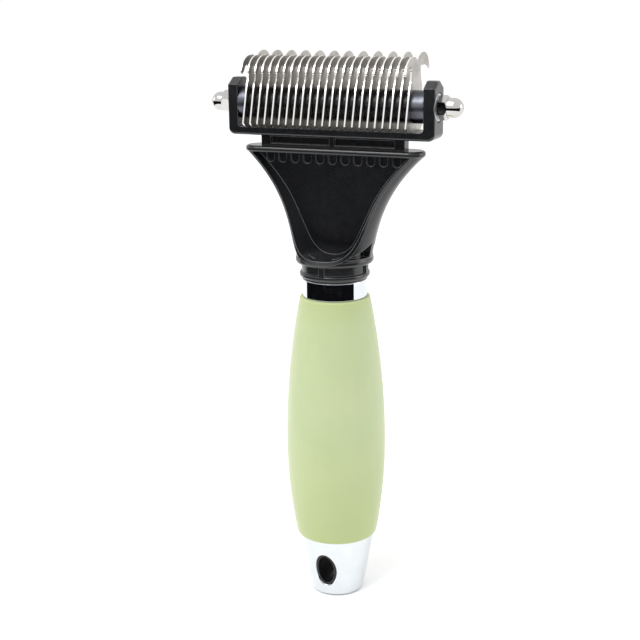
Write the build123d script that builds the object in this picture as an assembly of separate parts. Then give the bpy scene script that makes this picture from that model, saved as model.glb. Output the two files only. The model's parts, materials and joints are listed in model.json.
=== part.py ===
"""Double-sided deshedding comb: a gel-gripped handle, a fan-shaped neck and a yoke that holds
twenty-three hooked steel blades on one threaded shaft.

Frame: origin at the centre of the end cap's flat base, +Z up the handle to the blades,
+X along the shaft, -Y towards the fine side, +Y towards the coarse side.  Millimetres.
"""
import os
from math import sqrt

from build123d import *

# blades and the stack on the shaft
BLADE_COUNT = 23
BLADE_PITCH = 2.6
BLADE_THICK = 0.5
STACK_SHIFT = -0.45
SPACER_R = 5.3
SPACER_BORE_R = 2.1
BLADE_BORE_R = 2.1
BLADE_FLOOR_GAP = 0.05

# shaft, washers and cap nuts
SHAFT_Z = 173.6
SHAFT_R = 2.0
SHAFT_HALF = 41.6
NUT_FLATS = 7.0
NUT_HEX_LONG = 3.2
NUT_DOME_R = 3.25
NUT_LONG = 8.05
NUT_BORE_R = 2.05
NUT_BORE_DEEP = 5.5
LEFT_NUT_TURN = 14
WASHER_R = 4.5
WASHER_THICK = 0.8
NUT_GAP = 0.05

# yoke
YOKE_HALF = 36.5
YOKE_INNER_HALF = 32.8
YOKE_DEPTH = 10.1
YOKE_BOTTOM = 163.1
YOKE_FLOOR = 165.8
YOKE_TOP = 182.0
YOKE_TOP_BEVEL_DEEP = 3.6
YOKE_TOP_BEVEL_HIGH = 2.2
YOKE_CORNER_R = 2.2
YOKE_INNER_R = 1.2
YOKE_EDGE_R = 0.9
YOKE_SHAFT_BORE_R = 2.1
WASHER_SEAT_R = 4.8

# tongue under the yoke
TONGUE_HALF = 25.6
TONGUE_DEPTH = 4.0
TONGUE_BOTTOM = 157.7
TONGUE_POST = 3.5
TONGUE_RIB = 1.8
TONGUE_PANEL_DEEP = 1.1
TONGUE_PANEL_TOP = 162.6
TONGUE_PANEL_BOTTOM = 160.2

# neck
NECK_TOP = 159.5
RIM_HALF = 31.9
RIM_DEPTH = 10.4
RIM_HIGH = 2.2
RIM_EDGE_R = 1.0
FAN_TOP = 157.8
FAN_TOP_HALF = 31.8
FAN_TOP_DEEP = 4.0
FAN_BOTTOM = 121.8
FAN_BOTTOM_HALF = 12.9
FAN_BOTTOM_DEEP = 12.2
FAN_STRAIGHT = 0.35
FAN_FLARE_POWER = 2.75
FAN_THIN_POWER = 1.5
FAN_SECTIONS = 8
POCKET_WEB = 3.0
POCKET_TOP = 157.4
POCKET_BOTTOM = 123.4
POCKET_REACH = 14.0
POCKET_DRAFT = 0.4
LIP_WIDE = 1.3
LIP_HIGH = 0.6
LIP_FOOT_HIGH = 1.6
LIP_BOTTOM = 120.9
SCALLOP_COUNT = 11
SCALLOP_PITCH = 4.53
SCALLOP_R = 1.45
SCALLOP_Z = 155.3
SCALLOP_DEEP = 0.7
RECESS_RIB = 1.2
RECESS_REACH = 10.4
RECESS_HIGH = 5.0
RECESS_DEEP = 2.3
RECESS_FLOOR_X = 10.9
UPPER_FLANGE_R = 13.3
UPPER_FLANGE_Z = 122.0
UPPER_FLANGE_THICK = 2.6
LOWER_FLANGE_R = 12.0
LOWER_FLANGE_Z = 116.85
LOWER_FLANGE_THICK = 1.9
NECK_R = 11.2
GROOVE_RIB = 2.0
NECK_CLEAR = 0.05

# handle
FERRULE_R = 11.05
FERRULE_TOP = 115.2
COLLAR_R = 10.0
TANG_R = 7.5
TANG_BOTTOM = 72.0
FIT_CLEAR = 0.03
GRIP_TOP = 108.9
GRIP_BOTTOM = 22.0
GRIP_BOTTOM_R = 14.1
GRIP_MID_Z = 56.0
GRIP_MID_R = 17.3
GRIP_TOP_R = 12.0
GRIP_EDGE_R = 1.1
GRIP_TOP_EDGE_R = 0.6
CORE_R = 10.5
CORE_PLUG_BOTTOM = 17.6
CORE_BORE_BOTTOM = 30.0

# end cap
CAP_BASE_R = 9.35
CAP_TOP_R = 13.4
CAP_WALL = 1.6
CAP_FLOOR = 1.8
CAP_EDGE_R = 1.6
HOLE_Z = 10.6
HOLE_WIDE = 7.6
HOLE_HIGH = 12.3
HOLE_EDGE_R = 0.45
LINER_WALL = 0.8
LINER_RECESS = 0.5


def lying_cylinder(radius, low_x, high_x, z=SHAFT_Z):
    """A cylinder along X between two X values."""
    turned = Location((low_x, 0, z), (0, 90, 0))
    return turned * Cylinder(radius, high_x - low_x, align=(Align.CENTER, Align.CENTER, Align.MIN))


def standing_cylinder(radius, low_z, high_z):
    """A cylinder along Z between two heights."""
    return Pos(0, 0, low_z) * Cylinder(
        radius, high_z - low_z, align=(Align.CENTER, Align.CENTER, Align.MIN)
    )


def block(size_x, size_y, low_z, high_z, x=0, y=0):
    """A box centred on x and y, between two heights."""
    align = (Align.CENTER, Align.CENTER, Align.MIN)
    return Pos(x, y, low_z) * Box(size_x, size_y, high_z - low_z, align=align)


def revolved(outline):
    """A solid of revolution about Z from a flat outline given as (radius, z)."""
    return revolve(Plane.XZ * outline, Axis.Z)


# ---------------------------------------------------------------- blades


def blade_lower_edges():
    """The waist and foot that all blades share, from the front neck round to the back neck.
    Points are (y, z) about the shaft's centre."""
    floor = YOKE_FLOOR + BLADE_FLOOR_GAP - SHAFT_Z
    return [
        ThreePointArc((-3.5, 11.9), (-3.9, 9.3), (-5.2, 6.4)),
        Line((-5.2, 6.4), (-8.9, -6.2)),
        Line((-8.9, -6.2), (-6.9, floor)),
        Line((-6.9, floor), (6.0, floor)),
        Line((6.0, floor), (8.0, -5.2)),
        Line((8.0, -5.2), (6.8, 6.4)),
        ThreePointArc((6.8, 6.4), (5.6, 9.3), (5.1, 11.8)),
    ]


def front_hook_edges():
    """The fine tooth, from the front neck over its tip to its crown."""
    return [
        ThreePointArc((-3.5, 11.9), (-5.0, 12.75), (-6.9, 11.6)),
        ThreePointArc((-6.9, 11.6), (-7.7, 10.7), (-8.7, 10.1)),
        ThreePointArc((-8.7, 10.1), (-9.4, 10.2), (-9.6, 10.9)),
        ThreePointArc((-9.6, 10.9), (-7.6, 13.9), (-1.8, 15.75)),
    ]


def double_crown_edges():
    """The dip behind the fine tooth and the coarse tooth, down to the back neck."""
    return [
        ThreePointArc((-1.8, 15.75), (0.3, 15.6), (1.4, 14.9)),
        ThreePointArc((1.4, 14.9), (2.2, 14.8), (3.0, 15.3)),
        ThreePointArc((3.0, 15.3), (5.3, 16.5), (8.1, 16.9)),
        ThreePointArc((8.1, 16.9), (12.3, 15.3), (14.0, 12.4)),
        ThreePointArc((14.0, 12.4), (13.5, 11.4), (12.3, 11.3)),
        ThreePointArc((12.3, 11.3), (10.6, 12.4), (8.6, 12.8)),
        Line((8.6, 12.8), (6.0, 12.8)),
        ThreePointArc((6.0, 12.8), (5.3, 12.5), (5.1, 11.8)),
    ]


def single_crown_edges():
    """The crown of a blade that has only the fine tooth, down to the back neck."""
    return [
        ThreePointArc((-1.8, 15.75), (2.6, 14.8), (5.1, 11.8)),
    ]


def blade(x, double):
    """One steel blade, centred at x: fine tooth in front, and a coarse tooth behind if double."""
    crown = double_crown_edges() if double else single_crown_edges()
    outline = make_face(blade_lower_edges() + front_hook_edges() + crown)
    outline -= Circle(BLADE_BORE_R)
    plane = Plane(origin=(x, 0, SHAFT_Z), x_dir=(0, 1, 0), z_dir=(1, 0, 0))
    plate = extrude(plane * outline, BLADE_THICK / 2, both=True)
    return plate


def blade_x(index):
    """The X of a blade's middle, for index 0 to BLADE_COUNT - 1."""
    return (index - (BLADE_COUNT - 1) / 2) * BLADE_PITCH + STACK_SHIFT


def spacer(low_x, high_x):
    """A ring on the shaft that keeps two neighbours apart."""
    ring = lying_cylinder(SPACER_R, low_x, high_x)
    ring = chamfer(ring.edges().filter_by(GeomType.CIRCLE), 0.15)
    return ring - lying_cylinder(SPACER_BORE_R, low_x, high_x)


# ---------------------------------------------------------------- shaft and its fasteners


def threaded_shaft():
    """The M4 rod through blades, spacers and both arms."""
    rod = lying_cylinder(SHAFT_R, -SHAFT_HALF, SHAFT_HALF)
    return chamfer(rod.edges().filter_by(GeomType.CIRCLE), 0.4)


def washer():
    """The right-hand washer, in its seat in the arm."""
    ring = lying_cylinder(WASHER_R, YOKE_HALF - WASHER_THICK, YOKE_HALF)
    ring = chamfer(ring.edges().filter_by(GeomType.CIRCLE), 0.15)
    return ring - lying_cylinder(SPACER_BORE_R, YOKE_HALF - WASHER_THICK, YOKE_HALF)


def cap_nut(turn=0):
    """The right-hand domed nut, turned on its thread by degrees: hexagon, short neck and dome,
    with a blind bore."""
    start = YOKE_HALF + NUT_GAP
    neck_start = start + NUT_HEX_LONG
    dome_start = start + NUT_LONG - NUT_DOME_R
    corner_r = NUT_FLATS / sqrt(3)
    plane = Plane(origin=(start, 0, SHAFT_Z), x_dir=(0, 1, 0), z_dir=(1, 0, 0))
    hexagon = extrude(plane * RegularPolygon(corner_r, 6, rotation=30 + turn), NUT_HEX_LONG)
    turned = lying_cylinder(corner_r, start, neck_start)
    hexagon &= chamfer(turned.edges().filter_by(GeomType.CIRCLE), 0.5)
    neck = lying_cylinder(NUT_DOME_R, neck_start, dome_start)
    dome = Pos(dome_start, 0, SHAFT_Z) * Sphere(NUT_DOME_R)
    dome -= lying_cylinder(2 * NUT_DOME_R, start - NUT_DOME_R, dome_start)
    return hexagon + neck + dome - lying_cylinder(NUT_BORE_R, start, start + NUT_BORE_DEEP)


# ---------------------------------------------------------------- yoke


def yoke_outline():
    """The U of the yoke, seen from the front."""
    outer = Pos(0, (YOKE_BOTTOM + YOKE_TOP) / 2) * Rectangle(2 * YOKE_HALF, YOKE_TOP - YOKE_BOTTOM)
    low = outer.vertices().group_by(Axis.Y)[0]
    outer = fillet(low, YOKE_CORNER_R)
    inner_high = YOKE_TOP - YOKE_FLOOR + 10
    inner = Pos(0, YOKE_FLOOR + inner_high / 2) * Rectangle(2 * YOKE_INNER_HALF, inner_high)
    low = inner.vertices().group_by(Axis.Y)[0]
    inner = fillet(low, YOKE_INNER_R)
    return outer - inner


def yoke_side_outline():
    """The yoke seen from the side: both arms' tops are bevelled front and back."""
    deep = YOKE_DEPTH / 2
    flat = deep - YOKE_TOP_BEVEL_DEEP
    shoulder = YOKE_TOP - YOKE_TOP_BEVEL_HIGH
    return Polygon(
        (-deep, YOKE_BOTTOM),
        (deep, YOKE_BOTTOM),
        (deep, shoulder),
        (flat, YOKE_TOP),
        (-flat, YOKE_TOP),
        (-deep, shoulder),
        align=None,
    )


def tongue():
    """The flat block under the yoke: end posts, a middle rib and sunk panels between them."""
    body = block(2 * TONGUE_HALF, TONGUE_DEPTH, TONGUE_BOTTOM, YOKE_BOTTOM + 0.5)
    inner = TONGUE_HALF - TONGUE_POST
    panel_long = inner - TONGUE_RIB / 2
    for side_x in (-1, 1):
        for side_y in (-1, 1):
            body -= block(
                panel_long,
                TONGUE_PANEL_DEEP,
                TONGUE_PANEL_BOTTOM,
                TONGUE_PANEL_TOP,
                x=side_x * (inner + TONGUE_RIB / 2) / 2,
                y=side_y * (TONGUE_DEPTH - TONGUE_PANEL_DEEP) / 2,
            )
    return body


def yoke():
    """The black U-shaped frame with its tongue."""
    body = extrude(Plane.XZ * yoke_outline(), YOKE_DEPTH / 2, both=True)
    body &= extrude(Plane.YZ * yoke_side_outline(), YOKE_HALF + 1, both=True)
    rounded = []
    for edge in body.edges():
        box = edge.bounding_box()
        outside = max(abs(box.min.X), abs(box.max.X)) > YOKE_INNER_HALF + 1
        flat_x = box.size.X < 0.01
        if outside and flat_x and abs(edge.center().X) > YOKE_HALF - 0.01:
            rounded.append(edge)
    body = fillet(rounded, YOKE_EDGE_R)
    body += tongue()
    for side_x in (-1, 1):
        inner = side_x * (YOKE_INNER_HALF - 1)
        outer = side_x * (YOKE_HALF + 1)
        seat = side_x * (YOKE_HALF - WASHER_THICK)
        body -= lying_cylinder(YOKE_SHAFT_BORE_R, min(inner, outer), max(inner, outer))
        body -= lying_cylinder(WASHER_SEAT_R, min(seat, outer), max(seat, outer))
    return body


# ---------------------------------------------------------------- neck


def fan_half_width(z):
    """Half the fan's width: it flares from the round neck, and most steeply below the rim."""
    rise = (z - FAN_BOTTOM) / (FAN_TOP - FAN_BOTTOM)
    flare = FAN_STRAIGHT * rise + (1 - FAN_STRAIGHT) * rise**FAN_FLARE_POWER
    return FAN_BOTTOM_HALF + (FAN_TOP_HALF - FAN_BOTTOM_HALF) * flare


def fan_half_depth(z):
    """Half the fan's depth: it thins from the round neck to the rim, and fastest low down."""
    rise = (z - FAN_BOTTOM) / (FAN_TOP - FAN_BOTTOM)
    return FAN_TOP_DEEP + (FAN_BOTTOM_DEEP - FAN_TOP_DEEP) * (1 - rise)**FAN_THIN_POWER


def fan(top_extra=0, foot_extra=0):
    """The flared body of the neck, lofted through rounded slabs that may be made fatter."""
    sections = []
    for index in range(FAN_SECTIONS):
        rise = index / (FAN_SECTIONS - 1)
        z = FAN_BOTTOM + (FAN_TOP - FAN_BOTTOM) * rise
        extra = top_extra + (foot_extra - top_extra) * (1 - rise)**3
        half_width = fan_half_width(z) + extra
        half_depth = fan_half_depth(z) + extra
        outline = RectangleRounded(2 * half_width, 2 * half_depth, half_depth - 0.05)
        sections.append(Pos(0, 0, z) * outline)
    return loft(sections)


def pocket_outline(spread, drop=0):
    """The thumb rest seen from the front, with flared sides and a round foot: its sides are
    moved outward by spread, and its foot downward by drop."""
    top = (27.0 + spread, POCKET_TOP)
    waist = (16.1 + spread, 144.6)
    knee = (9.6 + spread, 131.5)
    ankle = (6.5 + 0.8 * spread, 126.3 - 0.1 * spread - 0.6 * drop)
    foot = (0, POCKET_BOTTOM - 0.05 * spread - drop)
    side = Spline(top, waist, knee, ankle, foot, tangents=((-1, -1), (-1, 0)))
    return make_face([Line((-top[0], POCKET_TOP), top), side, mirror(side, Plane.YZ)])


def pocket_space(spread=0, drop=0):
    """A front-opening space that widens outward from the thumb rest's floor."""
    floor_y = -POCKET_WEB / 2
    front = floor_y - POCKET_REACH
    near = Plane.XZ.offset(-floor_y) * pocket_outline(spread, drop)
    far = Plane.XZ.offset(-front) * pocket_outline(spread + POCKET_DRAFT * POCKET_REACH, drop)
    return loft([near, far])


def lip():
    """The raised band round the front thumb rest, which crosses the upper flange at its foot."""
    swollen = fan(LIP_HIGH, LIP_FOOT_HIGH)
    foot = standing_cylinder(fan_half_depth(FAN_BOTTOM) + LIP_FOOT_HIGH, LIP_BOTTOM, FAN_BOTTOM)
    return (swollen + foot) & pocket_space(LIP_WIDE, LIP_WIDE)


def pocket_cut(side):
    """The space of one thumb rest, with the row of round notches under the rim."""
    space = pocket_space()
    notch_long = POCKET_TOP - SCALLOP_Z
    notch = Pos(0, SCALLOP_Z) * Circle(SCALLOP_R)
    notch += Pos(0, SCALLOP_Z + notch_long / 2) * Rectangle(2 * SCALLOP_R, notch_long)
    for index in range(SCALLOP_COUNT):
        x = (index - (SCALLOP_COUNT - 1) / 2) * SCALLOP_PITCH
        tool = extrude(Plane.XZ * (Pos(x, 0) * notch), SCALLOP_DEEP + 1)
        space += Pos(0, SCALLOP_DEEP - POCKET_WEB / 2, 0) * tool
    if side > 0:
        space = mirror(space, Plane.XZ)
    return space


def side_recess_cut(side_x, side_y):
    """The sunk triangle on the fan's flank, just above the upper flange."""
    low = UPPER_FLANGE_Z + UPPER_FLANGE_THICK / 2 + 0.1
    shape = Polygon(
        (side_y * RECESS_RIB, low),
        (side_y * RECESS_REACH, low),
        (side_y * RECESS_RIB, low + RECESS_HIGH),
        align=None,
    )
    tool = extrude(Plane.YZ * shape, 2 * UPPER_FLANGE_R)
    if side_x < 0:
        tool = mirror(tool, Plane.YZ)
    inner_deep = FAN_BOTTOM_DEEP - RECESS_DEEP
    inner = RectangleRounded(2 * RECESS_FLOOR_X, 2 * inner_deep, inner_deep - 0.05)
    return tool - Pos(0, 0, low - 1) * extrude(inner, RECESS_HIGH + 2)


def flange(radius, z, thick):
    """A disc with a rounded rim."""
    disc = standing_cylinder(radius, z - thick / 2, z + thick / 2)
    return fillet(disc.edges().filter_by(GeomType.CIRCLE), thick * 0.42)


def rim():
    """The rounded bead round the fan's top."""
    plate = Pos(0, 0, NECK_TOP - RIM_HIGH) * extrude(
        RectangleRounded(2 * RIM_HALF, RIM_DEPTH, RIM_DEPTH / 2 - 0.05), RIM_HIGH
    )
    edges = plate.edges().group_by(Axis.Z)
    return fillet(edges[0] + edges[-1], RIM_EDGE_R)


def neck():
    """Fan, rim, flanges and the tang that runs down inside the handle."""
    raised = lip()
    body = fan() + raised + mirror(raised, Plane.XZ)
    for side in (-1, 1):
        body -= pocket_cut(side)
    body += rim()
    for side_x in (-1, 1):
        for side_y in (-1, 1):
            body -= side_recess_cut(side_x, side_y)
    body += flange(UPPER_FLANGE_R, UPPER_FLANGE_Z, UPPER_FLANGE_THICK)
    body += flange(LOWER_FLANGE_R, LOWER_FLANGE_Z, LOWER_FLANGE_THICK)
    body += standing_cylinder(NECK_R, FERRULE_TOP, UPPER_FLANGE_Z)
    rib_reach = 2 * (LOWER_FLANGE_R - 0.1)
    body += block(GROOVE_RIB, rib_reach, LOWER_FLANGE_Z, UPPER_FLANGE_Z)
    body += block(rib_reach, GROOVE_RIB, LOWER_FLANGE_Z, UPPER_FLANGE_Z)
    body += standing_cylinder(COLLAR_R, GRIP_TOP, FERRULE_TOP)
    body += standing_cylinder(TANG_R, TANG_BOTTOM, GRIP_TOP)
    slot_bottom = TONGUE_BOTTOM - NECK_CLEAR
    slot_wide = 2 * (TONGUE_HALF + NECK_CLEAR)
    body -= block(slot_wide, TONGUE_DEPTH + 2 * NECK_CLEAR, slot_bottom, NECK_TOP + 1)
    return body


# ---------------------------------------------------------------- handle


def ferrule():
    """The bright ring between neck and grip."""
    ring = standing_cylinder(FERRULE_R, GRIP_TOP, FERRULE_TOP)
    ring = fillet(ring.edges().filter_by(GeomType.CIRCLE), 0.35)
    return ring - standing_cylinder(COLLAR_R + FIT_CLEAR, GRIP_TOP, FERRULE_TOP)


def cap_radius(z):
    """The end cap's outer radius at a height."""
    return CAP_BASE_R + (CAP_TOP_R - CAP_BASE_R) * z / GRIP_BOTTOM


def cap_cone(low_z, high_z, inset):
    """A cone parallel to the end cap's outside, inset from it, between two heights."""
    low_r = cap_radius(low_z) - inset
    high_r = cap_radius(high_z) - inset
    outline = Polygon((0, low_z), (low_r, low_z), (high_r, high_z), (0, high_z), align=None)
    return revolved(outline)


def handle_core():
    """The hard rod inside the grip: a blind bore for the tang, and a plug for the end cap."""
    body = standing_cylinder(CORE_R, GRIP_BOTTOM, GRIP_TOP)
    body += cap_cone(CORE_PLUG_BOTTOM, GRIP_BOTTOM, CAP_WALL + FIT_CLEAR)
    return body - standing_cylinder(TANG_R + FIT_CLEAR, CORE_BORE_BOTTOM, GRIP_TOP)


def gel_grip():
    """The soft barrel-shaped sleeve: two arcs that meet at its widest ring."""
    bore_r = CORE_R + FIT_CLEAR
    middle = (GRIP_MID_R, GRIP_MID_Z)
    outline = make_face([
        Line((bore_r, GRIP_BOTTOM), (GRIP_BOTTOM_R, GRIP_BOTTOM)),
        TangentArc(middle, (GRIP_BOTTOM_R, GRIP_BOTTOM), tangent=(0, -1)),
        TangentArc(middle, (GRIP_TOP_R, GRIP_TOP), tangent=(0, 1)),
        Line((GRIP_TOP_R, GRIP_TOP), (bore_r, GRIP_TOP)),
        Line((bore_r, GRIP_TOP), (bore_r, GRIP_BOTTOM)),
    ])
    sleeve = revolved(outline)
    rings = sleeve.edges().filter_by(GeomType.CIRCLE).sort_by(Axis.Z)
    bottom = [edge for edge in rings if abs(edge.radius - GRIP_BOTTOM_R) < 0.01]
    top = [edge for edge in rings if abs(edge.radius - GRIP_TOP_R) < 0.01]
    return fillet(top, GRIP_TOP_EDGE_R).fillet(GRIP_EDGE_R, bottom)


def oval(wide, high):
    """An upright oval rod along Y through the end cap."""
    shape = Pos(0, HOLE_Z) * Ellipse(wide / 2, high / 2)
    return extrude(Plane.XZ * shape, CAP_TOP_R + 5, both=True)


def end_cap():
    """The bright tapered cup with an oval hang hole from front to back."""
    cup = cap_cone(0, GRIP_BOTTOM, 0)
    cup = fillet(cup.edges().filter_by(GeomType.CIRCLE).sort_by(Axis.Z)[0], CAP_EDGE_R)
    cup -= cap_cone(CAP_FLOOR, GRIP_BOTTOM, CAP_WALL)
    cup -= oval(HOLE_WIDE, HOLE_HIGH)
    inside = cap_radius(HOLE_Z) - CAP_WALL
    ovals = cup.edges().filter_by(GeomType.BSPLINE)
    return fillet([edge for edge in ovals if abs(edge.center().Y) > inside], HOLE_EDGE_R)


def hang_hole_liner():
    """The black oval tube through the end cap."""
    limit = cap_cone(0, GRIP_BOTTOM, LINER_RECESS)
    tube = oval(HOLE_WIDE - 2 * FIT_CLEAR, HOLE_HIGH - 2 * FIT_CLEAR) & limit
    return tube - oval(HOLE_WIDE - 2 * LINER_WALL, HOLE_HIGH - 2 * LINER_WALL)


# ---------------------------------------------------------------- all pieces


def all_pieces():
    """Every piece by name, where it lies."""
    pieces = {}
    half_blade = BLADE_THICK / 2
    for index in range(BLADE_COUNT):
        name = f"blade_{index + 1:02d}"
        pieces[name] = blade(blade_x(index), double=index % 2 == 0)
    for index in range(BLADE_COUNT - 1):
        name = f"spacer_{index + 1:02d}"
        pieces[name] = spacer(blade_x(index) + half_blade, blade_x(index + 1) - half_blade)
    pieces["end_spacer_left"] = spacer(-YOKE_INNER_HALF, blade_x(0) - half_blade)
    pieces["end_spacer_right"] = spacer(blade_x(BLADE_COUNT - 1) + half_blade, YOKE_INNER_HALF)
    pieces["threaded_shaft"] = threaded_shaft()
    pieces["washer_right"] = washer()
    pieces["washer_left"] = mirror(washer(), Plane.YZ)
    pieces["cap_nut_right"] = cap_nut()
    pieces["cap_nut_left"] = mirror(cap_nut(LEFT_NUT_TURN), Plane.YZ)
    pieces["yoke"] = yoke()
    pieces["neck"] = neck()
    pieces["ferrule"] = ferrule()
    pieces["gel_grip"] = gel_grip()
    pieces["handle_core"] = handle_core()
    pieces["end_cap"] = end_cap()
    pieces["hang_hole_liner"] = hang_hole_liner()
    return pieces


os.makedirs("parts", exist_ok=True)
for node, shape in all_pieces().items():
    export_step(shape, f"parts/{node}.step")
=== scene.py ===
import json
import math

import bmesh
import bpy
from mathutils import Matrix, Vector


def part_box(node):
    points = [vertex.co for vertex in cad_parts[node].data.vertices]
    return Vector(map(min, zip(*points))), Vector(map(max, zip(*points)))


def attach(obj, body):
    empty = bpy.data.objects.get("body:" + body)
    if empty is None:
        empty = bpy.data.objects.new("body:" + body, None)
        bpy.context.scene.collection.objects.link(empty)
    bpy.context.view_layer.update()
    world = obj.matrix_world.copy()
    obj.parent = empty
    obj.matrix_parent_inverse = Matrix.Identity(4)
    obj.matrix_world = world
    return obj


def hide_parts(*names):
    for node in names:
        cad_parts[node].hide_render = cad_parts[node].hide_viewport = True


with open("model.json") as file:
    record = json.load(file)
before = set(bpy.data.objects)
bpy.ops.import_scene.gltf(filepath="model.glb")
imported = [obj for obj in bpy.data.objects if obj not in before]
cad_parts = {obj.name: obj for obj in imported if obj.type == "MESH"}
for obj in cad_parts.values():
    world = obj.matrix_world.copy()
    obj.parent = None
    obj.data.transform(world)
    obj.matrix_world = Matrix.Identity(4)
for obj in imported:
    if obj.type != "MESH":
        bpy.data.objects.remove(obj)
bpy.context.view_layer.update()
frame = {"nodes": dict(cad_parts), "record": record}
nodes = frame["nodes"]

MM = 0.001

# ---------------------------------------------------------------- camera and light

# The camera stands close by, to the right of the front, and looks a little down.
CAMERA_PLACE = Vector((0.16146, -0.39306, 0.21517))
CAMERA_AZIMUTH = math.radians(23.04)
CAMERA_DOWN = math.radians(15.17)
CAMERA_ROLL = math.radians(-0.66)
CAMERA_LENS = 71.8
CAMERA_SENSOR = 36.0

# Soft studio boxes: a name, a place, the point it is aimed at, its side and its power.
LIGHTS = (
    ("front_box", (-0.22, -0.55, 0.95), (0, 0, 0.17), 0.6, 6.0),
    ("left_box", (-1.1, -0.1, 0.4), (0, 0, 0.1), 0.5, 0.8),
    ("right_box", (1.1, 0.45, 0.4), (0, 0, 0.1), 0.5, 2.0),
)
WORLD_STRENGTH = 1.02

FLOOR_HALF = 6.0
FLOOR_COLOUR = (1, 1, 1, 1)
FLOOR_ROUGHNESS = 0.9

# The flag's arc is measured from the front, and to the right.
FLAG_RADIUS = 0.35
FLAG_LOW = 0.0005
FLAG_HIGH = 0.18
FLAG_FROM = math.radians(-96)
FLAG_TO = math.radians(92)
FLAG_STEPS = 24
FLAG_COLOUR = (0.004, 0.004, 0.005, 1)
FLAG_ROUGHNESS = 1.0


def make_camera():
    """The one camera."""
    data = bpy.data.cameras.new("camera")
    data.lens = CAMERA_LENS
    data.sensor_width = CAMERA_SENSOR
    camera = bpy.data.objects.new("camera", data)
    turn = Matrix.Rotation(CAMERA_AZIMUTH, 4, "Z")
    tilt = Matrix.Rotation(math.pi / 2 - CAMERA_DOWN, 4, "X")
    roll = Matrix.Rotation(CAMERA_ROLL, 4, "Z")
    camera.matrix_world = Matrix.Translation(CAMERA_PLACE) @ turn @ tilt @ roll
    bpy.context.scene.collection.objects.link(camera)
    bpy.context.scene.camera = camera


def area_light(name, place, target, size, power):
    """A soft square light aimed at a point."""
    data = bpy.data.lights.new(name, "AREA")
    data.shape = "SQUARE"
    data.size = size
    data.energy = power
    lamp = bpy.data.objects.new(name, data)
    aim = Vector(target) - Vector(place)
    lamp.rotation_euler = aim.to_track_quat("-Z", "Y").to_euler()
    lamp.location = place
    bpy.context.scene.collection.objects.link(lamp)


def make_world():
    """A white even surround."""
    scene = bpy.context.scene
    scene.view_settings.view_transform = "Standard"
    world = bpy.data.worlds.new("world")
    scene.world = world
    world.use_nodes = True
    background = world.node_tree.nodes["Background"]
    background.inputs["Color"].default_value = (1, 1, 1, 1)
    background.inputs["Strength"].default_value = WORLD_STRENGTH


def stage_mesh(name, corners, faces, colour, roughness):
    """A piece of the studio, which isn't part of the tool."""
    mesh = bpy.data.meshes.new(name)
    mesh.from_pydata(corners, [], faces)
    made = bpy.data.objects.new(name, mesh)
    bpy.context.scene.collection.objects.link(made)
    material, _, shader = surface(name)
    shader.inputs["Base Color"].default_value = colour
    shader.inputs["Roughness"].default_value = roughness
    shader.inputs["Specular IOR Level"].default_value = 0.0
    mesh.materials.append(material)
    return made


def make_floor():
    """A plain white floor under the tool."""
    half = FLOOR_HALF
    corners = [(-half, -half, 0), (half, -half, 0), (half, half, 0), (-half, half, 0)]
    stage_mesh("floor", corners, [(0, 1, 2, 3)], FLOOR_COLOUR, FLOOR_ROUGHNESS)


def make_flag():
    """A low black card round the front, seen only in reflections, as for any chrome subject."""
    corners = []
    for step in range(FLAG_STEPS + 1):
        angle = FLAG_FROM + (FLAG_TO - FLAG_FROM) * step / FLAG_STEPS
        x = FLAG_RADIUS * math.sin(angle)
        y = -FLAG_RADIUS * math.cos(angle)
        corners += [(x, y, FLAG_LOW), (x, y, FLAG_HIGH)]
    faces = [(2 * i, 2 * i + 2, 2 * i + 3, 2 * i + 1) for i in range(FLAG_STEPS)]
    flag = stage_mesh("flag", corners, faces, FLAG_COLOUR, FLAG_ROUGHNESS)
    flag.visible_camera = False
    flag.visible_diffuse = False
    flag.visible_transmission = False
    flag.visible_shadow = False


# ---------------------------------------------------------------- material tools

# The range that smooth noise mostly keeps to, and the narrower one that makes soft clouds.
NOISE_RANGE = (0.3, 0.7)
CLOUD_RANGE = (0.35, 0.65)

# How far the rounded normal has to leave the true one for a point to be on an edge.
EDGE_RANGE = (0.99, 0.9)
EDGE_SAMPLES = 6

# How squarely a face has to look along the shaft to be the flat of a blade.
FLAT_RANGE = (0.75, 0.97)


def surface(name):
    """A new node material: the material, its tree and its shader."""
    material = bpy.data.materials.new(name)
    material.use_nodes = True
    return material, material.node_tree, material.node_tree.nodes["Principled BSDF"]


def add(tree, kind, inputs=None, **settings):
    """A new shader node with its settings, and its inputs set to values or linked to sockets."""
    made = tree.nodes.new(kind)
    for key, value in settings.items():
        setattr(made, key, value)
    for key, value in (inputs or {}).items():
        if isinstance(value, bpy.types.NodeSocket):
            tree.links.new(value, made.inputs[key])
        else:
            made.inputs[key].default_value = value
    return made


def place(tree, stretch=(1, 1, 1)):
    """The point on the piece in metres, with its axes scaled by stretch."""
    point = add(tree, "ShaderNodeTexCoord").outputs["Object"]
    mapping = add(tree, "ShaderNodeMapping", {"Vector": point, "Scale": stretch})
    return mapping.outputs["Vector"]


def noise(tree, size, stretch=(1, 1, 1), detail=3.0):
    """Smooth noise with features of a size in metres."""
    inputs = {"Vector": place(tree, stretch), "Scale": 1 / size, "Detail": detail}
    return add(tree, "ShaderNodeTexNoise", inputs).outputs["Fac"]


def ramp(tree, value, low, high, to_low, to_high):
    """A value remapped from one range to another, and held at its ends."""
    inputs = {
        "Value": value,
        "From Min": low,
        "From Max": high,
        "To Min": to_low,
        "To Max": to_high,
    }
    return add(tree, "ShaderNodeMapRange", inputs, clamp=True).outputs["Result"]


def spread(tree, value, rough):
    """Noise made to run from the first to the second of a pair of roughnesses."""
    return ramp(tree, value, *NOISE_RANGE, *rough)


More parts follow.
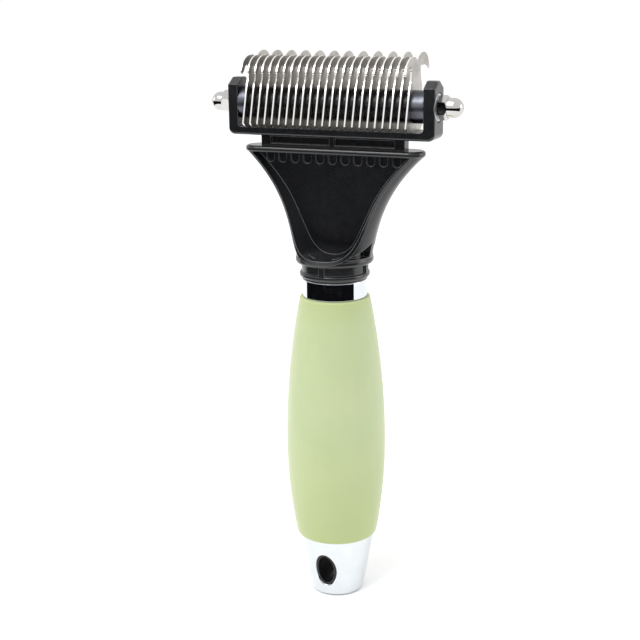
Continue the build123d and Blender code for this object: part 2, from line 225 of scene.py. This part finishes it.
def blend_colour(tree, factor, first, second):
    """A colour between two colours."""
    made = add(tree, "ShaderNodeMix", data_type="RGBA")
    for socket, value in (("Factor_Float", factor), ("A_Color", first), ("B_Color", second)):
        target = next(s for s in made.inputs if s.identifier == socket)
        if isinstance(value, bpy.types.NodeSocket):
            tree.links.new(value, target)
        else:
            target.default_value = (*value, 1)
    return next(s for s in made.outputs if s.identifier == "Result_Color")


def clouded(tree, size, dark, light, stretch=(1, 1, 1)):
    """A colour that drifts between two tones, in clouds of a size in metres."""
    cloud = noise(tree, size, stretch)
    return blend_colour(tree, ramp(tree, cloud, *CLOUD_RANGE, 0, 1), dark, light)


def bump(tree, height, depth, normal=None):
    """A bump normal from a height, whose full range stands for a depth in metres."""
    inputs = {"Height": height, "Strength": 1.0, "Distance": depth}
    if normal is not None:
        inputs["Normal"] = normal
    return add(tree, "ShaderNodeBump", inputs).outputs["Normal"]


def soft_edges(tree, radius):
    """The normal rounded over edges, and a mask that is 1 on them."""
    bevel = add(tree, "ShaderNodeBevel", {"Radius": radius}, samples=EDGE_SAMPLES)
    rounded = bevel.outputs["Normal"]
    true_normal = add(tree, "ShaderNodeNewGeometry").outputs["Normal"]
    agree = add(tree, "ShaderNodeVectorMath", operation="DOT_PRODUCT")
    tree.links.new(rounded, agree.inputs[0])
    tree.links.new(true_normal, agree.inputs[1])
    return rounded, ramp(tree, agree.outputs["Value"], *EDGE_RANGE, 0, 1)


def facing_x(tree):
    """A mask that is 1 where a surface looks along the shaft."""
    coordinates = add(tree, "ShaderNodeTexCoord")
    split = add(tree, "ShaderNodeSeparateXYZ", {"Vector": coordinates.outputs["Normal"]})
    size = add(tree, "ShaderNodeMath", operation="ABSOLUTE")
    tree.links.new(split.outputs["X"], size.inputs[0])
    return ramp(tree, size.outputs["Value"], *FLAT_RANGE, 0, 1)


def height(tree):
    """The height above the base, in metres."""
    point = add(tree, "ShaderNodeTexCoord").outputs["Object"]
    return add(tree, "ShaderNodeSeparateXYZ", {"Vector": point}).outputs["Z"]


def finish_surface(tree, shader, colour, roughness, normal):
    """Links a colour, a roughness and a normal to the shader."""
    tree.links.new(colour, shader.inputs["Base Color"])
    tree.links.new(roughness, shader.inputs["Roughness"])
    tree.links.new(normal, shader.inputs["Normal"])


# ---------------------------------------------------------------- materials

# Sizes and depths of grain, clouds, rings and haze are in millimetres.  A stretch below 1 draws
# the features out along that axis.
BLADE_FACE = ((0.38, 0.36, 0.33), (0.52, 0.50, 0.47))
# The cut edges are painted near white: a painted highlight, on top of their real smoother polish.
BLADE_CUT_PAINTED_HIGHLIGHT = (0.93, 0.925, 0.91)
BLADE_FACE_ROUGH = (0.27, 0.38)
BLADE_CUT_ROUGH = 0.16
BLADE_GRAIN = 0.5
BLADE_GRAIN_STRETCH = (1, 0.12, 1)
BLADE_GRAIN_DEPTH = 0.004
BLADE_CLOUD = 5

TURNED_METALS = {
    "spacer_bright": {
        "dark": (0.10, 0.105, 0.125),
        "light": (0.15, 0.155, 0.18),
        "rough": (0.28, 0.36),
        "ring": 0.5,
    },
    "shaft_steel": {
        "dark": (0.48, 0.47, 0.46),
        "light": (0.62, 0.61, 0.60),
        "rough": (0.25, 0.4),
    },
    "washer_steel": {
        "dark": (0.46, 0.46, 0.47),
        "light": (0.60, 0.60, 0.61),
        "rough": (0.25, 0.42),
    },
}
RING_STRETCH = (1, 0.02, 0.02)
RING_DEPTH = 0.006
METAL_CLOUD = 3

MOULDED_PLASTICS = {
    "spacer_black": {
        "dark": (0.004, 0.004, 0.005),
        "light": (0.008, 0.008, 0.009),
        "rough": (0.22, 0.30),
    },
    "black_plastic": {
        "dark": (0.004, 0.0045, 0.0058),
        "light": (0.006, 0.0067, 0.008),
        "rough": (0.21, 0.26),
        # The edges are painted pale: a painted highlight along them, with a little rubbed wear.
        "edge": (0.13, 0.131, 0.134),
        "gloss": 0.65,
    },
    "core_plastic": {
        "dark": (0.55, 0.62, 0.40),
        "light": (0.62, 0.69, 0.46),
        "rough": (0.4, 0.55),
    },
    "liner_plastic": {
        "dark": (0.006, 0.006, 0.007),
        "light": (0.012, 0.012, 0.013),
        "rough": (0.12, 0.22),
    },
}
PLASTIC_GRAIN = 0.35
PLASTIC_GRAIN_DEPTH = 0.012
PLASTIC_CLOUD = 9
PLASTIC_SHEEN_PATCH = 2.2
PLASTIC_EDGE_R = 0.3

MIRROR_CHROMES = {
    "nut_chrome": {"tint": (0.56, 0.55, 0.54), "rough": (0.08, 0.2)},
    "chrome_plating": {"tint": (0.70, 0.73, 0.755), "rough": (0.03, 0.10)},
}
CHROME_HAZE = 4
CHROME_HAZE_RANGE = (0.45, 0.75)
CHROME_SHADE = 0.95
CHROME_WAVE = 1.5
CHROME_WAVE_DEPTH = 0.002

GEL_PALE = ((0.395, 0.465, 0.258), (0.43, 0.487, 0.275))
GEL_FULL = (0.38, 0.437, 0.198)
GEL_FULL_BELOW = 45
GEL_FULL_ABOVE = 9
GEL_TOP_SHARE = 0.8
GEL_CLOUD = 14
GEL_CLOUD_STRETCH = (1, 1, 0.6)
GEL_ROUGH = (0.40, 0.52)
GEL_ROUGH_PATCH = 1.2
GEL_SKIN = 0.6
GEL_SKIN_DEPTH = 0.01
GEL_SHADER = {
    "Subsurface Weight": 0.35,
    "Subsurface Radius": (1.0, 1.1, 0.6),
    "Subsurface Scale": 4 * MM,
    "Sheen Weight": 0.25,
    "Sheen Roughness": 0.4,
}


def blade_steel():
    """Thin stamped stainless plate: warm grey faces with a fine grain, and cut edges painted near
    white, a painted highlight on top of their real smoother polish.
    """
    material, tree, shader = surface("blade_steel")
    shader.inputs["Metallic"].default_value = 1.0
    grain = noise(tree, BLADE_GRAIN * MM, BLADE_GRAIN_STRETCH, detail=4.0)
    face = clouded(tree, BLADE_CLOUD * MM, *BLADE_FACE)
    flat = facing_x(tree)
    # Where a surface doesn't face along the shaft, the cut edge gets the painted highlight colour.
    colour = blend_colour(tree, flat, BLADE_CUT_PAINTED_HIGHLIGHT, face)
    rough_face = spread(tree, grain, BLADE_FACE_ROUGH)
    rough = add(tree, "ShaderNodeMix", data_type="FLOAT")
    tree.links.new(flat, rough.inputs[0])
    rough.inputs[2].default_value = BLADE_CUT_ROUGH
    tree.links.new(rough_face, rough.inputs[3])
    normal = bump(tree, grain, BLADE_GRAIN_DEPTH * MM)
    finish_surface(tree, shader, colour, rough.outputs[0], normal)
    return material


def turned_metal(name, dark, light, rough, ring=0.16):
    """Metal with fine turning rings round the shaft."""
    material, tree, shader = surface(name)
    shader.inputs["Metallic"].default_value = 1.0
    rings = noise(tree, ring * MM, RING_STRETCH, detail=2.0)
    colour = clouded(tree, METAL_CLOUD * MM, dark, light)
    normal = bump(tree, rings, RING_DEPTH * MM)
    finish_surface(tree, shader, colour, spread(tree, rings, rough), normal)
    return material


def moulded_plastic(name, dark, light, rough, edge=None, gloss=0.35):
    """Moulded plastic: a very fine grain, faint clouding and, if asked for, edges painted pale, a
    painted highlight along them with a little rubbed wear.
    """
    material, tree, shader = surface(name)
    shader.inputs["Specular IOR Level"].default_value = gloss
    grain = noise(tree, PLASTIC_GRAIN * MM, detail=4.0)
    colour = clouded(tree, PLASTIC_CLOUD * MM, dark, light)
    roughness = spread(tree, noise(tree, PLASTIC_SHEEN_PATCH * MM), rough)
    normal = None
    if edge is not None:
        normal, on_edge = soft_edges(tree, PLASTIC_EDGE_R * MM)
        # Paints the edges pale: a painted highlight, with a little rubbed wear.
        colour = blend_colour(tree, on_edge, colour, edge)
    normal = bump(tree, grain, PLASTIC_GRAIN_DEPTH * MM, normal)
    finish_surface(tree, shader, colour, roughness, normal)
    return material


def mirror_chrome(name, tint, rough):
    """Bright plating with a trace of handling haze."""
    material, tree, shader = surface(name)
    shader.inputs["Metallic"].default_value = 1.0
    haze = noise(tree, CHROME_HAZE * MM, detail=4.0)
    shade = [CHROME_SHADE * part for part in tint]
    colour = blend_colour(tree, ramp(tree, haze, *NOISE_RANGE, 0, 1), shade, tint)
    roughness = ramp(tree, haze, *CHROME_HAZE_RANGE, *rough)
    normal = bump(tree, noise(tree, CHROME_WAVE * MM), CHROME_WAVE_DEPTH * MM)
    finish_surface(tree, shader, colour, roughness, normal)
    return material


def green_gel():
    """Soft translucent gel, fuller in colour low down and close under the bright ring."""
    material, tree, shader = surface("green_gel")
    low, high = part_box("gel_grip")
    z = height(tree)
    base = ramp(tree, z, low.z, low.z + GEL_FULL_BELOW * MM, 1, 0)
    top = ramp(tree, z, high.z - GEL_FULL_ABOVE * MM, high.z, 0, GEL_TOP_SHARE)
    fuller = add(tree, "ShaderNodeMath", operation="MAXIMUM")
    tree.links.new(base, fuller.inputs[0])
    tree.links.new(top, fuller.inputs[1])
    pale = clouded(tree, GEL_CLOUD * MM, *GEL_PALE, GEL_CLOUD_STRETCH)
    colour = blend_colour(tree, fuller.outputs["Value"], pale, GEL_FULL)
    roughness = spread(tree, noise(tree, GEL_ROUGH_PATCH * MM), GEL_ROUGH)
    skin = noise(tree, GEL_SKIN * MM, detail=2.0)
    finish_surface(tree, shader, colour, roughness, bump(tree, skin, GEL_SKIN_DEPTH * MM))
    for key, value in GEL_SHADER.items():
        shader.inputs[key].default_value = value
    return material


def make_materials():
    """Every material, by the record's slot name."""
    made = {"blade_steel": blade_steel(), "green_gel": green_gel()}
    for maker, looks in (
        (turned_metal, TURNED_METALS),
        (moulded_plastic, MOULDED_PLASTICS),
        (mirror_chrome, MIRROR_CHROMES),
    ):
        for name, look in looks.items():
            made[name] = maker(name, **look)
    return made


def wear_material(piece, material):
    """Gives a piece one material."""
    piece.data.materials.clear()
    piece.data.materials.append(material)


# ---------------------------------------------------------------- detailed pieces

THREAD_PITCH = 0.7 * MM
THREAD_ROOT_R = 1.58 * MM
THREAD_STEPS = 20
THREAD_END_R = 1.5 * MM
# Where the crest begins and ends and the root begins, as shares of the pitch.
CREST_FROM = 0.42
CREST_TO = 0.54
ROOT_FROM = 0.96
THREAD_WELD = 1e-6

BLADE_EDGE_R = 0.08 * MM
BLADE_CORNER = 0.9  # radians: a sharper edge than this is rounded
BLADE_EDGE_STEPS = 2
BLADE_WELD = 1e-7

# Edges sharper than this many degrees are shaded as edges.
NODE_SHARP = 30
THREAD_SHARP = 50
BLADE_SHARP = 20


def smooth(mesh, sharp_degrees):
    """Shades a mesh smooth between its sharp edges."""
    for polygon in mesh.polygons:
        polygon.use_smooth = True
    mesh.set_sharp_from_angle(angle=math.radians(sharp_degrees))


def new_piece(name, made, node, sharp_degrees):
    """A mesh that stands for a CAD node and rides with it."""
    mesh = bpy.data.meshes.new(name)
    made.to_mesh(mesh)
    made.free()
    piece = bpy.data.objects.new(name, mesh)
    bpy.context.scene.collection.objects.link(piece)
    smooth(mesh, sharp_degrees)
    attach(piece, body_of[node])
    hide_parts(node)
    wear_material(piece, materials[slots[node]])
    return piece


def shaft_line():
    """The shaft's middle height, its crest radius and its two ends, from the CAD node."""
    low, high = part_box("threaded_shaft")
    return (low.z + high.z) / 2, (high.z - low.z) / 2, low.x, high.x


def threaded_rod():
    """The M4 rod with its real helical thread and coned ends."""
    axis_z, crest_r, start, end = shaft_line()
    profile = [
        (0.0, THREAD_ROOT_R),
        (CREST_FROM, crest_r),
        (CREST_TO, crest_r),
        (ROOT_FROM, THREAD_ROOT_R),
    ]
    turns = math.ceil((end - start) / THREAD_PITCH) + 2
    steps = turns * THREAD_STEPS
    made = bmesh.new()
    rings = []
    for step in range(steps + 1):
        angle = 2 * math.pi * step / THREAD_STEPS
        along = start - THREAD_PITCH + THREAD_PITCH * step / THREAD_STEPS
        ring = []
        for share, radius in profile:
            x = min(max(along + share * THREAD_PITCH, start), end)
            r = min(radius, THREAD_END_R + min(x - start, end - x))
            ring.append(made.verts.new((x, r * math.cos(angle), axis_z + r * math.sin(angle))))
        rings.append(ring)
    for step in range(steps):
        here, after = rings[step], rings[step + 1]
        for k in range(len(profile) - 1):
            made.faces.new((here[k], after[k], after[k + 1], here[k + 1]))
        if step + THREAD_STEPS + 1 <= steps:
            turn, turn_after = rings[step + THREAD_STEPS], rings[step + THREAD_STEPS + 1]
            made.faces.new((here[-1], after[-1], turn_after[0], turn[0]))
    bmesh.ops.remove_doubles(made, verts=made.verts, dist=THREAD_WELD)
    bmesh.ops.dissolve_degenerate(made, edges=made.edges, dist=THREAD_WELD)
    open_edges = [edge for edge in made.edges if edge.is_boundary]
    bmesh.ops.holes_fill(made, edges=open_edges, sides=0)
    bmesh.ops.recalc_face_normals(made, faces=made.faces)
    return new_piece("threaded_rod", made, "threaded_shaft", THREAD_SHARP)


def rounded_plate(node):
    """A copy of a blade's CAD node with its cut edges rounded."""
    made = bmesh.new()
    made.from_mesh(nodes[node].data)
    bmesh.ops.remove_doubles(made, verts=made.verts, dist=BLADE_WELD)
    corners = [
        edge
        for edge in made.edges
        if len(edge.link_faces) == 2 and edge.calc_face_angle() > BLADE_CORNER
    ]
    bmesh.ops.bevel(
        made,
        geom=corners,
        offset=BLADE_EDGE_R,
        segments=BLADE_EDGE_STEPS,
        profile=0.5,
        affect="EDGES",
        clamp_overlap=True,
    )
    bmesh.ops.recalc_face_normals(made, faces=made.faces)
    return new_piece(f"{node}_plate", made, node, BLADE_SHARP)


# ---------------------------------------------------------------- the scene

make_camera()
for light in LIGHTS:
    area_light(*light)
make_world()
make_floor()
make_flag()

slots = {part["node"]: part["material_slot"] for part in frame["record"]["subparts"]}
body_of = {}
for body, members in frame["record"]["behaviour"]["bodies"].items():
    for member in members:
        body_of[member] = body
materials = make_materials()

for name, node in nodes.items():
    wear_material(node, materials[slots[name]])
    smooth(node.data, NODE_SHARP)

threaded_rod()
for name in sorted(nodes):
    if name.startswith("blade_"):
        rounded_plate(name)
